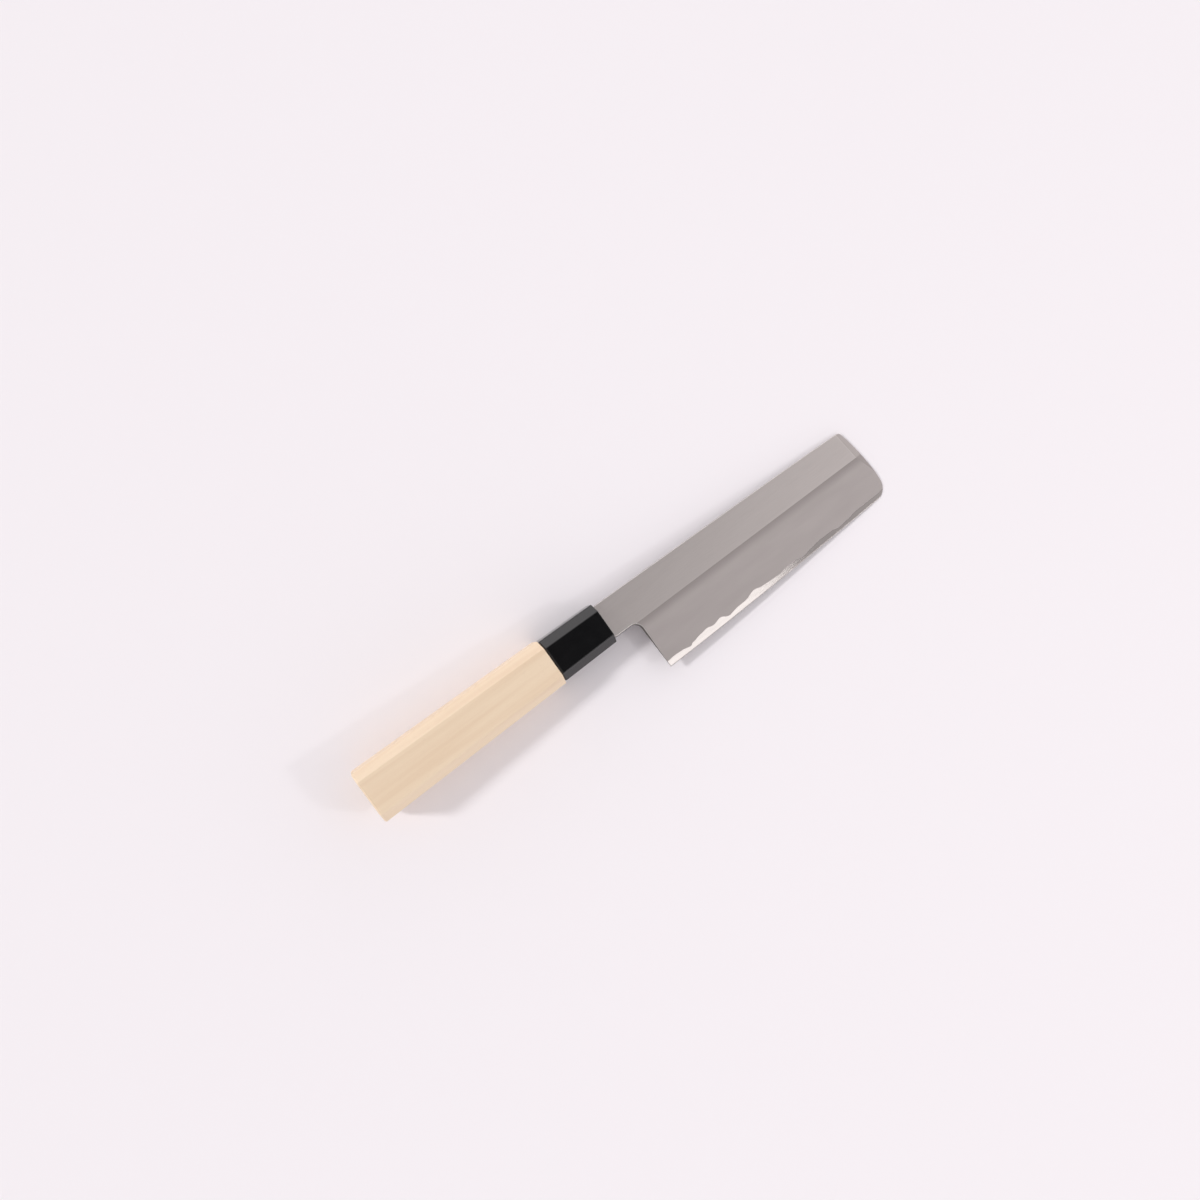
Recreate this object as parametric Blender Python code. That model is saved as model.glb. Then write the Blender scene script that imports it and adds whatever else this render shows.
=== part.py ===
# Usuba, a single-bevel vegetable knife, in four pieces: soft-iron body with its tang,
# hard edge steel, octagonal ferrule and octagonal wooden handle.
# The knife frame has its origin on the handle's axis at the ferrule's front face:
# +X to the tip, +Y to the spine, +Z out of the bevelled front of the blade.
# All sizes are in metres.

import math

import bmesh
import bpy
from mathutils import Matrix, Vector

# Clearances
seat_gap = 0.0003          # between pieces that push together
weld_gap = 0.00005         # between the two layers of the blade

# Wooden handle
wood_length = 0.0988
butt_width = 0.0255
butt_thickness = 0.0215
butt_chamfer = 0.0042      # width of an octagon's slanting side, seen from above
neck_end_width = 0.0230
neck_end_thickness = 0.0192
neck_end_chamfer = 0.0040
butt_ease = 0.0010
front_ease = 0.0004
tenon_width = 0.0150
tenon_thickness = 0.0120
tenon_shoulder = 0.0040    # how far the tenon's blank reaches back into the wood

# Ferrule
ferrule_length = 0.0300
ferrule_rear_width = 0.0216
ferrule_rear_thickness = 0.0177
ferrule_front_width = 0.02075
ferrule_front_thickness = 0.0170
ferrule_chamfer = 0.00395
ferrule_rear_ease = 0.0008
ferrule_front_wall = 0.0035
ridge_round = 0.00035

# Tang
tang_length = 0.0920       # from the ferrule's front face to the tang's end
tang_root_width = 0.0110
tang_end_width = 0.0055
tang_end_thickness = 0.0020
tang_end_room = 0.0015     # free depth past the tang's end

# Blade outline
neck_length = 0.0103       # ferrule to the start of the choil's arc
neck_depth = 0.0092        # underside of the neck below the axis
choil_radius = 0.0043
heel_lean = 0.0011         # how far the heel's corner lies ahead of the choil
edge_length = 0.1440       # heel corner to foremost tip
spine_height = 0.00865     # spine above the axis, at the ferrule
spine_drop = 0.0030
spine_straight_share = 0.75
spine_power = 8            # the higher, the nearer to the tip the rest of the drop comes
shoulder_radius = 0.0024
ridge_depth = 0.00955      # shinogi ridge below the axis
ridge_rise = 0.00035
edge_depth = 0.0361        # cutting edge below the axis, at the heel
edge_lift = 0.0034         # rise of the edge towards the tip
edge_power = 1.4
flat_edge_length = 0.0110  # straight stretch of the edge, from the heel
tip_bow_radius = 0.0980
tip_corner_radius = 0.0075
spine_corner_radius = 0.0010

# Blade thickness
neck_thickness = 0.0030
tip_thickness = 0.0017
edge_thickness = 0.0002
tip_edge_thickness = 0.0008
tip_bevel_at_spine = 0.0024   # width of the tip's own narrow bevel
tip_bevel_at_ridge = 0.0036
spine_ease = 0.0003

# Hollow back and layers
hollow_depth = 0.00035
hollow_rim = 0.0020
hollow_edge_rim = 0.0013
hollow_end_power = 8       # the higher, the more abruptly the hollow ends at heel and tip
steel_share = 0.36         # steel's share of the thickness, above the bevel
steel_blend = 0.0100       # height over which the layer reaches that share
scarf_length = 0.0030      # wedge at the steel's back end
scarf_start = 0.0005
weld_step = 0.0001

# Height of the weld line above the edge, at distances from the heel. A forged weld wanders,
# so its low and high spots are set by hand.
weld_line = (
    (0.0000, 0.00305), (0.0050, 0.0033), (0.0090, 0.00305), (0.0138, 0.0021), (0.0155, 0.00285),
    (0.0210, 0.0037), (0.0250, 0.0041), (0.0290, 0.0033), (0.0335, 0.0041), (0.0383, 0.0021),
    (0.0440, 0.00285), (0.0485, 0.00285), (0.0558, 0.00435), (0.0600, 0.0033), (0.0660, 0.0028),
    (0.0717, 0.00245), (0.0750, 0.00305), (0.0800, 0.0030), (0.0872, 0.0019), (0.0920, 0.00255),
    (0.0985, 0.0031), (0.1060, 0.0029), (0.1113, 0.00185), (0.1170, 0.00215), (0.1230, 0.0028),
    (0.1300, 0.0027), (0.1380, 0.0025), (0.1450, 0.0029),
)

# Mesh steps
oval_sides = 32
neck_steps = 5
settling_rounds = 6        # substitutions that settle where a station crosses a row
sharp_angle = math.radians(25)
round_angle = math.radians(30)
tip_room = 0.0055          # last stretch of the edge, which the tip's own stations cover
closed_gap = 0.000001      # where a solid is thinner, its two sides share a corner

heel_x = neck_length + choil_radius + heel_lean
tip_x = heel_x + edge_length
back_z = -neck_thickness / 2
taper_per_length = (neck_thickness - tip_thickness) / tip_x


def blend(start, end, share):
    """Straight-line mix of two values."""
    return start + (end - start) * share


def clamp(value):
    """Keep a share between 0 and 1."""
    return max(0.0, min(1.0, value))


def smooth(share):
    """Ease a share in and out."""
    share = clamp(share)
    return share * share * (3 - 2 * share)


def quarter_arc(distance, radius):
    """How far a rounded corner is drawn in, at a distance from its tangent line."""
    if distance >= radius:
        return 0.0
    return radius - math.sqrt(radius ** 2 - (radius - distance) ** 2)


# The blade's outline as heights over its length

def spine_y(x):
    """The spine falls slowly, and faster near the tip."""
    share = max(0.0, x) / tip_x
    fall = spine_straight_share * share + (1 - spine_straight_share) * share ** spine_power
    return spine_height - spine_drop * fall


def ridge_y(x):
    """The shinogi ridge, nearly level."""
    return -ridge_depth + ridge_rise * clamp(x / tip_x)


def edge_y(x):
    """The cutting edge: straight at the heel, then a gentle upward sweep."""
    start = heel_x + flat_edge_length
    share = max(0.0, x - start) / (tip_x - start)
    return -edge_depth + edge_lift * share ** edge_power


def weld_height(x):
    """Height of the weld line above the edge, eased between its hand-set spots."""
    along = x - heel_x
    if along <= weld_line[0][0]:
        return weld_line[0][1]
    for (x0, h0), (x1, h1) in zip(weld_line, weld_line[1:]):
        if along <= x1:
            return blend(h0, h1, smooth((along - x0) / (x1 - x0)))
    return weld_line[-1][1]


def heel_line_x(y):
    """Back end of the blade: the choil's arc, then the heel line leaning forward."""
    depth = max(0.0, -neck_depth - y)
    arc = math.sqrt(choil_radius ** 2 - (choil_radius - min(depth, choil_radius)) ** 2)
    heel_share = (depth - choil_radius) / (edge_depth - neck_depth - choil_radius)
    return neck_length + arc + heel_lean * max(0.0, heel_share)


def tip_line_x(y):
    """Front end of the blade: a long bow, rounded into the edge and into the spine."""
    low_point = edge_y(tip_x - tip_corner_radius)
    bow_start = low_point + tip_corner_radius
    rise = max(0.0, y - bow_start)
    bow = tip_bow_radius - math.sqrt(tip_bow_radius ** 2 - rise ** 2)
    low_corner = quarter_arc(max(0.0, y - low_point), tip_corner_radius)
    high_corner = quarter_arc(max(0.0, spine_y(tip_x) - y), spine_corner_radius)
    return tip_x - bow - low_corner - high_corner


# The tip's own bevel is one plane. It starts along a straight line on the flat. Below the
# ridge that line turns forward, because the wide bevel falls away, and runs out at the tip.

tip_bevel_slope = (tip_thickness - tip_edge_thickness) / tip_bevel_at_ridge


def tip_bevel_x(y):
    """Straight line on the flat where the tip bevel starts."""
    spine, ridge = spine_y(tip_x) - spine_corner_radius, ridge_y(tip_x)
    near_spine = tip_line_x(spine) - tip_bevel_at_spine
    near_ridge = tip_line_x(ridge) - tip_bevel_at_ridge
    return blend(near_spine, near_ridge, (spine - y) / (spine - ridge))


def tip_bevel_inset(y):
    """How far in from the tip the bevel starts, on the flat and below the ridge."""
    bevel_height = ridge_y(tip_x) - edge_y(tip_x)
    fall = (tip_thickness - edge_thickness) * max(0.0, ridge_y(tip_x) - y) / bevel_height
    return tip_line_x(y) - tip_bevel_x(y) - fall / tip_bevel_slope


# Rows run along the blade, from the spine to the edge

flat_insets = (0.0, spine_ease, spine_corner_radius, hollow_rim)
flat_shares = (1 / 3, 2 / 3, 1.0)
bevel_shares = (0.012, 0.05, 0.105, 0.165, 0.35, 0.55, 0.75, 0.88, 1.0)
strip_shares = (0.25, 0.06, 0.0)

ridge_row = len(flat_insets) + len(flat_shares) - 1
weld_row = ridge_row + len(bevel_shares)
rim_row = weld_row + 2
edge_row = rim_row + len(strip_shares)


def row_y(row, x):
    """Height of a row over the blade's length."""
    if row < len(flat_insets):
        return spine_y(x) - flat_insets[row]
    if row <= ridge_row:
        share = flat_shares[row - len(flat_insets)]
        return blend(spine_y(x) - hollow_rim, ridge_y(x), share)
    weld_y = edge_y(x) + weld_height(x)
    if row <= weld_row:
        return blend(ridge_y(x), weld_y, bevel_shares[row - ridge_row - 1])
    if row == weld_row + 1:
        return weld_y - weld_step
    if row == rim_row:
        return edge_y(x) + hollow_edge_rim
    return edge_y(x) + hollow_edge_rim * strip_shares[row - rim_row - 1]


# Stations run across the blade. In front of the neck each is a share of the way from the
# heel line to the tip line, and a function that gives its offset at a height. They lie at the
# weld line's spots and half way between them, then at the back's rim, the tip bevel and the tip.

def no_offset(y):
    return 0.0


def heel_rim_offset(y):
    return hollow_rim


def tip_bevel_offset(y):
    return -max(spine_ease, tip_bevel_inset(y))


def tip_rim_offset(y):
    return min(-hollow_rim, tip_bevel_offset(y) - spine_ease)


blade_stations = [(0.0, no_offset), (0.0, heel_rim_offset)]
for near, far in zip(weld_line, weld_line[1:]):
    for along in ((near[0] + far[0]) / 2, far[0]):
        if weld_line[1][0] <= along <= edge_length - tip_room:
            blade_stations.append((along / edge_length, no_offset))
blade_stations += [(1.0, tip_rim_offset), (1.0, tip_bevel_offset), (1.0, no_offset)]


def neck_stations():
    """Places along the tang and neck: tang's end and root, shoulder, corner arc, scarf."""
    arc = [blend(2 * seat_gap, shoulder_radius, step / neck_steps) for step in range(neck_steps)]
    scarf = neck_length - scarf_length
    return [-tang_length, seat_gap] + arc + [shoulder_radius, scarf, scarf + scarf_start]


tang_stations = 2
first_blade_station = len(neck_stations())
first_steel_station = first_blade_station - 1
stations = neck_stations() + blade_stations


def tang_width(x):
    return blend(tang_root_width, tang_end_width, clamp(-x / tang_length))


def plan(station, row):
    """Where a station crosses a row, seen from above."""
    if station < first_blade_station:
        x = stations[station]
        if station < tang_stations:
            top, bottom = tang_width(x) / 2, -tang_width(x) / 2
        else:
            top = spine_y(x)
            bottom = -neck_depth + quarter_arc(x, shoulder_radius)
        full = spine_y(x) - ridge_y(x)
        share = (spine_y(x) - row_y(row, x)) / full
        return x, blend(top, bottom, share)
    share, offset = stations[station]
    x = blend(neck_length, tip_x, share)
    for _ in range(settling_rounds):
        y = row_y(row, x)
        x = blend(heel_line_x(y), tip_line_x(y), share) + offset(y)
    return x, y


def thickness_at(x):
    """The blade thins evenly from the neck to the tip, and the tang to its end."""
    if x < 0:
        return blend(neck_thickness, tang_end_thickness, clamp(-x / tang_length))
    return neck_thickness - taper_per_length * x


def bevel_share(x, y):
    """Share of the full thickness: 1 on the flat, falling from the ridge to the edge."""
    return clamp((y - edge_y(x)) / (ridge_y(x) - edge_y(x)))


def tip_bevel_height(x, y):
    """Height of the tip bevel's plane above the back."""
    return thickness_at(tip_bevel_x(y)) - tip_bevel_slope * (x - tip_bevel_x(y))


def front_z(station, row):
    """Front of the blade: flat, then the wide bevel, and a narrow bevel along the tip."""
    x, y = plan(station, row)
    thickness = thickness_at(x)
    if station < tang_stations:
        return thickness / 2
    if station < first_blade_station:
        return back_z + thickness - (spine_ease if row == 0 else 0.0)
    height = blend(edge_thickness, thickness, bevel_share(x, y))
    ease = spine_ease if row == 0 else 0.0
    return back_z + min(height - ease, tip_bevel_height(x, y))


def weld_z(station, row):
    """Where the two layers meet: low at the bevel, deeper under the flat, with a scarf
    at the steel's back end."""
    x, y = plan(station, row)
    if station < first_blade_station:
        share = (x - neck_length + scarf_length) / scarf_length
        return back_z + steel_share * thickness_at(x) * clamp(share)
    weld_y = edge_y(x) + weld_height(x)
    bevel = blend(edge_thickness, thickness_at(x), bevel_share(x, weld_y))
    share = smooth((y - weld_y) / steel_blend)
    return back_z + blend(bevel, steel_share * thickness_at(x), share)


def hollow_z(station, row):
    """Back of the blade: a shallow ground hollow inside a flat rim."""
    ease = spine_ease if row == 0 else 0.0
    if station <= first_blade_station + 1 or row < len(flat_insets) or row >= rim_row:
        return back_z + ease
    x, y = plan(station, row)
    top, bottom = spine_y(x) - hollow_rim, edge_y(x) + hollow_edge_rim
    across = 2 * (y - bottom) / (top - bottom) - 1
    back, front = heel_line_x(y) + heel_rim_offset(y), tip_line_x(y) + tip_rim_offset(y)
    along = 2 * (x - back) / (front - back) - 1
    depth = hollow_depth * (1 - across ** 2) * (1 - along ** hollow_end_power)
    return back_z + max(0.0, depth)


def tang_z(station, row):
    """Under the soft iron: its own back on tang and neck, then the weld."""
    if station < tang_stations:
        return -thickness_at(stations[station]) / 2
    if station < first_blade_station - 1:
        return back_z + (spine_ease if row == 0 else 0.0)
    return weld_z(station, row)


def steel_front_z(station, row):
    """Front of the steel: under the weld, and open along the edge."""
    if row <= weld_row:
        return weld_z(station, row) - weld_gap
    return front_z(station, row)


def two_sided(name, upper, lower, first_station, last_row, material):
    """A solid between two height functions on the shared stations and rows."""
    bm = bmesh.new()
    keys = [(s, r) for s in range(first_station, len(stations)) for r in range(last_row + 1)
            if r <= ridge_row or s >= first_blade_station]
    top = {key: bm.verts.new((*plan(*key), upper(*key))) for key in keys}
    bottom = {}
    for key, vertex in top.items():
        z = lower(*key)
        closed = vertex.co.z - z < closed_gap
        bottom[key] = vertex if closed else bm.verts.new((vertex.co.x, vertex.co.y, z))
    beneath = {top[key]: bottom[key] for key in keys}
    for s, r in keys:
        corners = [(s, r), (s, r + 1), (s + 1, r + 1), (s + 1, r)]
        if all(key in top for key in corners):
            a, b, c, d = [top[key] for key in corners]
            bm.faces.new((a, b, c))
            bm.faces.new((a, c, d))
    open_edges = [edge for edge in bm.edges if len(edge.link_faces) == 1]
    for face in list(bm.faces):
        bm.faces.new([beneath[vertex] for vertex in reversed(face.verts)])
    for edge in open_edges:
        start, end = edge.verts
        ring = [start, end, beneath[end], beneath[start]]
        corners = list(dict.fromkeys(ring))
        if len(corners) > 2:
            bm.faces.new(corners)
    bmesh.ops.recalc_face_normals(bm, faces=bm.faces)
    return make_piece(name, bm, material)


# Handle and ferrule

def octagon(x, width, thickness, chamfer, ease=0.0):
    """Eight corners of a cross-section, in order round the axis, with all sides moved in
    by the ease."""
    half_width, half_height = width / 2 - ease, thickness / 2 - ease
    slant = chamfer - (2 - math.sqrt(2)) * ease
    y_flat, z_flat = half_width - slant, half_height - slant
    quarter = [(half_width, z_flat), (y_flat, half_height)]
    points = quarter + [(-y, z) for y, z in reversed(quarter)]
    points += [(-y, -z) for y, z in points]
    return [Vector((x, y, z)) for y, z in points]


def oval(x, width, thickness):
    """An ellipse across the axis."""
    turns = [2 * math.pi * step / oval_sides for step in range(oval_sides)]
    return [Vector((x, width / 2 * math.cos(t), thickness / 2 * math.sin(t))) for t in turns]


def slot(x, width, thickness):
    """A rectangle across the axis."""
    w, t = width / 2, thickness / 2
    return [Vector((x, y, z)) for y, z in ((w, -t), (w, t), (-w, t), (-w, -t))]


def loft(name, sections, material):
    """Join cross-sections of equal corner count into one closed solid."""
    bm = bmesh.new()
    rings = [[bm.verts.new(point) for point in section] for section in sections]
    for near, far in zip(rings, rings[1:]):
        for i in range(len(near)):
            j = (i + 1) % len(near)
            bm.faces.new((near[i], near[j], far[j], far[i]))
    bm.faces.new(rings[0])
    bm.faces.new(rings[-1])
    bmesh.ops.recalc_face_normals(bm, faces=bm.faces)
    return make_piece(name, bm, material)


def make_piece(name, bm, material):
    mesh = bpy.data.meshes.new(name)
    bm.to_mesh(mesh)
    bm.free()
    mesh.materials.append(material)
    piece = bpy.data.objects.new(name, mesh)
    bpy.context.collection.objects.link(piece)
    return piece


def make_material(name, color, roughness, metallic):
    material = bpy.data.materials.new(name)
    material.use_nodes = True
    shader = material.node_tree.nodes["Principled BSDF"]
    shader.inputs["Base Color"].default_value = (*color, 1)
    shader.inputs["Roughness"].default_value = roughness
    shader.inputs["Metallic"].default_value = metallic
    return material


def add_round(piece, width):
    """Soften ridges and end edges."""
    modifier = piece.modifiers.new("round", "BEVEL")
    modifier.width = width
    modifier.segments = 2
    modifier.limit_method = "ANGLE"
    modifier.angle_limit = round_angle


def combine(piece, tool, operation):
    """Add or cut a tool shape, which is then left as a hidden guide."""
    modifier = piece.modifiers.new(tool.name, "BOOLEAN")
    modifier.operation = operation
    modifier.object = tool
    modifier.solver = "EXACT"
    tool.hide_render = True
    tool.display_type = "WIRE"


def tang_pocket(name, front, back, material):
    """Room for the tang: its taper, wider by the seat gap all round."""
    sections = []
    for x in (front, back):
        thickness = thickness_at(min(x, 0.0)) + 2 * seat_gap
        sections.append(slot(x, tang_width(x) + 2 * seat_gap, thickness))
    return loft(name, sections, material)


def make_ferrule(horn, guide):
    rear = -ferrule_length
    rear_size = (ferrule_rear_width, ferrule_rear_thickness, ferrule_chamfer)
    ferrule = loft("ferrule", [
        octagon(rear, *rear_size, ferrule_rear_ease),
        octagon(rear + ferrule_rear_ease, *rear_size),
        octagon(0.0, ferrule_front_width, ferrule_front_thickness, ferrule_chamfer),
    ], horn)
    add_round(ferrule, ridge_round)
    bore_size = (tenon_width + 2 * seat_gap, tenon_thickness + 2 * seat_gap)
    over = 0.001
    bore = loft("ferrule_bore_guide",
                [oval(rear - over, *bore_size), oval(-ferrule_front_wall, *bore_size)], guide)
    combine(ferrule, bore, "DIFFERENCE")
    opening = tang_pocket("ferrule_slot_guide", over, -ferrule_front_wall - over, guide)
    combine(ferrule, opening, "DIFFERENCE")
    return [ferrule, bore, opening]


def make_handle(wood, guide):
    front = -ferrule_length - seat_gap
    butt = front - wood_length
    butt_size = (butt_width, butt_thickness, butt_chamfer)
    neck_end_size = (neck_end_width, neck_end_thickness, neck_end_chamfer)
    handle = loft("wooden_handle", [
        octagon(butt, *butt_size, butt_ease),
        octagon(butt + butt_ease, *butt_size),
        octagon(front - front_ease, *neck_end_size),
        octagon(front, *neck_end_size, front_ease),
    ], wood)
    tenon_end = -ferrule_front_wall - seat_gap
    tenon = loft("tenon_guide", [
        oval(front - tenon_shoulder, tenon_width, tenon_thickness),
        oval(tenon_end, tenon_width, tenon_thickness),
    ], guide)
    combine(handle, tenon, "UNION")
    pocket = tang_pocket("tang_pocket_guide", tenon_end + seat_gap,
                         -tang_length - tang_end_room, guide)
    combine(handle, pocket, "DIFFERENCE")
    return [handle, tenon, pocket]


def lay_down(pieces):
    """Parent everything to one empty and lay the knife on a table: it rests on the
    ferrule's lower front edge and the tip, with its butt raised. The origin is then under
    the middle of its box."""
    rest = bpy.data.objects.new("knife_at_rest", None)
    bpy.context.collection.objects.link(rest)
    for piece in pieces:
        piece.parent = rest
    pitch = math.atan2(ferrule_front_thickness / 2 + back_z, tip_x)
    turn = Matrix.Rotation(pitch, 4, "Y")
    bpy.context.view_layer.update()
    graph = bpy.context.evaluated_depsgraph_get()
    points = []
    for piece in pieces:
        if not piece.hide_render:
            mesh = piece.evaluated_get(graph).to_mesh()
            points += [turn @ vertex.co for vertex in mesh.vertices]
    low = Vector([min(point[axis] for point in points) for axis in range(3)])
    high = Vector([max(point[axis] for point in points) for axis in range(3)])
    rest.rotation_euler = (0, pitch, 0)
    rest.location = (-(low.x + high.x) / 2, -(low.y + high.y) / 2, -low.z)
    bpy.context.view_layer.update()
    print("pitch", round(math.degrees(pitch), 4), "place", tuple(rest.location))


def main():
    for item in list(bpy.data.objects):
        bpy.data.objects.remove(item)
    iron = make_material("soft_iron", (0.42, 0.39, 0.38), 0.38, 1.0)
    steel = make_material("edge_steel", (0.55, 0.53, 0.52), 0.22, 1.0)
    horn = make_material("black_ferrule", (0.012, 0.012, 0.013), 0.15, 0.0)
    wood = make_material("pale_wood", (0.80, 0.62, 0.44), 0.55, 0.0)
    guide = make_material("guide", (1.0, 0.2, 0.2), 0.5, 0.0)
    body = two_sided("soft_iron_body", front_z, tang_z, 0, weld_row, iron)
    edge = two_sided("edge_steel", steel_front_z, hollow_z, first_steel_station, edge_row, steel)
    pieces = [body, edge] + make_ferrule(horn, guide) + make_handle(wood, guide)
    for piece in pieces:
        piece.data.shade_smooth()
        piece.data.set_sharp_from_angle(angle=sharp_angle)
    lay_down(pieces)


main()
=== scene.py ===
# %% [markdown]
# # An usuba, the straight Japanese vegetable knife
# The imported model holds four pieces: a soft-iron body with its tang, the hard steel layer
# welded to its back, a black ferrule and a pale wooden handle. This lesson gives each of them
# its fine surface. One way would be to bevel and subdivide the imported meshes. Here each surface
# is worked out again from the knife's own sizes, because a ground blade is really a set of
# height functions over one outline, and a handle is a rounded octagon carried along a line.

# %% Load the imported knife
import math

import bpy
import numpy as np
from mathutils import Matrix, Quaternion, Vector


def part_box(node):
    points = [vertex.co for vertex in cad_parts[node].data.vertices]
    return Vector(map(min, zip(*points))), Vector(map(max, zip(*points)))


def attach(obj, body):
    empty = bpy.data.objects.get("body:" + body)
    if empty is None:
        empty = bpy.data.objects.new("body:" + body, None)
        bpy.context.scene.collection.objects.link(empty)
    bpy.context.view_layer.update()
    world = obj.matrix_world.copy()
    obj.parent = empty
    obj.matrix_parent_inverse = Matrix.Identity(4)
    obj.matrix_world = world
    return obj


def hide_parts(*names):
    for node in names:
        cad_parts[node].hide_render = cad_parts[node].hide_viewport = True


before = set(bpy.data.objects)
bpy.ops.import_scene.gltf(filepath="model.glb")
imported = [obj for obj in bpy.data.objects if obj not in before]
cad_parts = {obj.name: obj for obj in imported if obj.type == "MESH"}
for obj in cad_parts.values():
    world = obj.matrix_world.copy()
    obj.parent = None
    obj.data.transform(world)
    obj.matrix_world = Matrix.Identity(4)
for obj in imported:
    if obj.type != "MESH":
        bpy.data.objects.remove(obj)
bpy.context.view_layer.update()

mm = 0.001

# %% [markdown]
# ## The camera
# The knife was seen from almost straight above, from a point over its handle, so the blade
# leans away a little. A camera is easiest to read as a place, a point that it looks at, and a
# roll about that line of sight. The lens covers the whole square picture.

# %% Camera
camera_place = Vector((-0.1022, 0.0633, 0.4798))
camera_aim = Vector((-0.0076, 0.0201, 0.0))
camera_roll = math.radians(78.95)
lens_length = 31.34

camera = bpy.data.objects.new("camera", bpy.data.cameras.new("camera"))
bpy.context.scene.collection.objects.link(camera)
bpy.context.scene.camera = camera
camera.data.sensor_width = 36.0
camera.data.lens = lens_length
camera.data.clip_start = 0.01
level_turn = (camera_aim - camera_place).to_track_quat("-Z", "Y")
camera.rotation_mode = "QUATERNION"
camera.rotation_quaternion = level_turn @ Quaternion((0, 0, 1), camera_roll)
camera.location = camera_place
print("camera height", round(camera_place.z / mm), "mm")

# %% [markdown]
# ## Arrays instead of loops
# Every surface below is a grid of points held in one numpy array. These small helpers mix,
# ease and round whole arrays at once.

# %% Helpers for arrays
def blend(start, end, share):
    """Straight-line mix: start + (end - start) * share."""
    return start + (end - start) * share


def smooth(share):
    """Ease in and out between 0 and 1: 3 s^2 - 2 s^3."""
    share = np.clip(share, 0.0, 1.0)
    return share * share * (3 - 2 * share)


def round_in(distance, radius):
    """Depth of a quarter round at a distance from its start: r - sqrt(r^2 - (r - d)^2)."""
    inside = np.clip(radius - distance, 0.0, radius)
    return radius - np.sqrt(radius ** 2 - inside ** 2)


def soft_min(first, second, width):
    """Lower of two heights, rounded over a width: the mean less a softened half difference."""
    gap = first - second
    return (first + second - np.sqrt(gap ** 2 + width ** 2)) / 2


def spread(start, end, count):
    """Evenly spaced values from start up to, but without, end."""
    return np.linspace(start, end, count, endpoint=False)


# %% [markdown]
# ## The blade's outline
# Seen from above, the blade is bounded by the spine, the tip's long bow, the cutting edge, the
# heel line and the choil's arc, which runs on into the underside of the neck. Each is a short
# formula in the knife's own frame: the origin is on the handle's axis at the ferrule's front,
# +X runs to the tip, +Y to the spine and +Z out of the bevelled front.

# %% Outline sizes
neck_length = 10.3 * mm
neck_depth = 9.2 * mm
choil_radius = 4.3 * mm
heel_lean = 1.1 * mm
edge_length = 144.0 * mm
spine_height = 8.65 * mm
spine_drop = 3.0 * mm
spine_straight_share = 0.75
spine_power = 8
shoulder_radius = 2.4 * mm
ridge_depth = 9.55 * mm
ridge_rise = 0.35 * mm
edge_depth = 36.1 * mm
edge_lift = 3.4 * mm
edge_power = 1.4
flat_edge_length = 11.0 * mm
tip_bow_radius = 98.0 * mm
tip_corner_radius = 7.5 * mm
spine_corner_radius = 1.0 * mm
tang_length = 92.0 * mm
tang_root_width = 11.0 * mm
tang_end_width = 5.5 * mm
seat_gap = 0.3 * mm

heel_x = neck_length + choil_radius + heel_lean
tip_x = heel_x + edge_length
arc_centre_y = -neck_depth - choil_radius


# %% Outline curves
def spine_y(x):
    """Spine: a slow straight fall and a faster one, s^power, near the tip."""
    share = np.clip(x, 0.0, None) / tip_x
    fall = spine_straight_share * share + (1 - spine_straight_share) * share ** spine_power
    return spine_height - spine_drop * fall


def ridge_y(x):
    """Shinogi ridge: nearly level, rising evenly to the tip."""
    return -ridge_depth + ridge_rise * np.clip(x / tip_x, 0.0, 1.0)


def edge_y(x):
    """Cutting edge: straight at the heel, then lifted by s^power."""
    start = heel_x + flat_edge_length
    share = np.clip(x - start, 0.0, None) / (tip_x - start)
    return -edge_depth + edge_lift * share ** edge_power


def heel_line_x(y):
    """Back end: a quarter circle under the neck, then a line that leans forward."""
    depth = np.clip(-neck_depth - y, 0.0, None)
    rest = choil_radius - np.minimum(depth, choil_radius)
    arc = np.sqrt(choil_radius ** 2 - rest ** 2)
    share = (depth - choil_radius) / (edge_depth - neck_depth - choil_radius)
    return neck_length + arc + heel_lean * np.clip(share, 0.0, None)


def tip_line_x(y):
    """Front end: a long bow, drawn in by a quarter round at the edge and at the spine."""
    low_point = edge_y(tip_x - tip_corner_radius)
    rise = np.clip(y - low_point - tip_corner_radius, 0.0, None)
    bow = tip_bow_radius - np.sqrt(tip_bow_radius ** 2 - rise ** 2)
    low_corner = round_in(np.clip(y - low_point, 0.0, None), tip_corner_radius)
    high_corner = round_in(np.clip(spine_y(tip_x) - y, 0.0, None), spine_corner_radius)
    return tip_x - bow - low_corner - high_corner


# %% [markdown]
# ## The weld line
# Soft iron and hard steel are forged together, so the line where they meet on the bevel
# wanders. A noise would wander too, but not in the right places. A list of low and
# high spots, eased from one to the next, keeps the line of this blade. Each spot is a distance
# from the heel and a height above the edge.

# %% Weld line
weld_spots = np.array((
    (0.0, 3.05), (5.0, 3.3), (9.0, 3.05), (13.8, 2.1), (15.5, 2.85), (21.0, 3.7), (25.0, 4.1),
    (29.0, 3.3), (33.5, 4.1), (38.3, 2.1), (44.0, 2.85), (48.5, 2.85), (55.8, 4.35), (60.0, 3.3),
    (66.0, 2.8), (71.7, 2.45), (75.0, 3.05), (80.0, 3.0), (87.2, 1.9), (92.0, 2.55), (98.5, 3.1),
    (106.0, 2.9), (111.3, 1.85), (117.0, 2.15), (123.0, 2.8), (130.0, 2.7), (138.0, 2.5),
    (145.0, 2.9),
)) * mm


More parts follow.
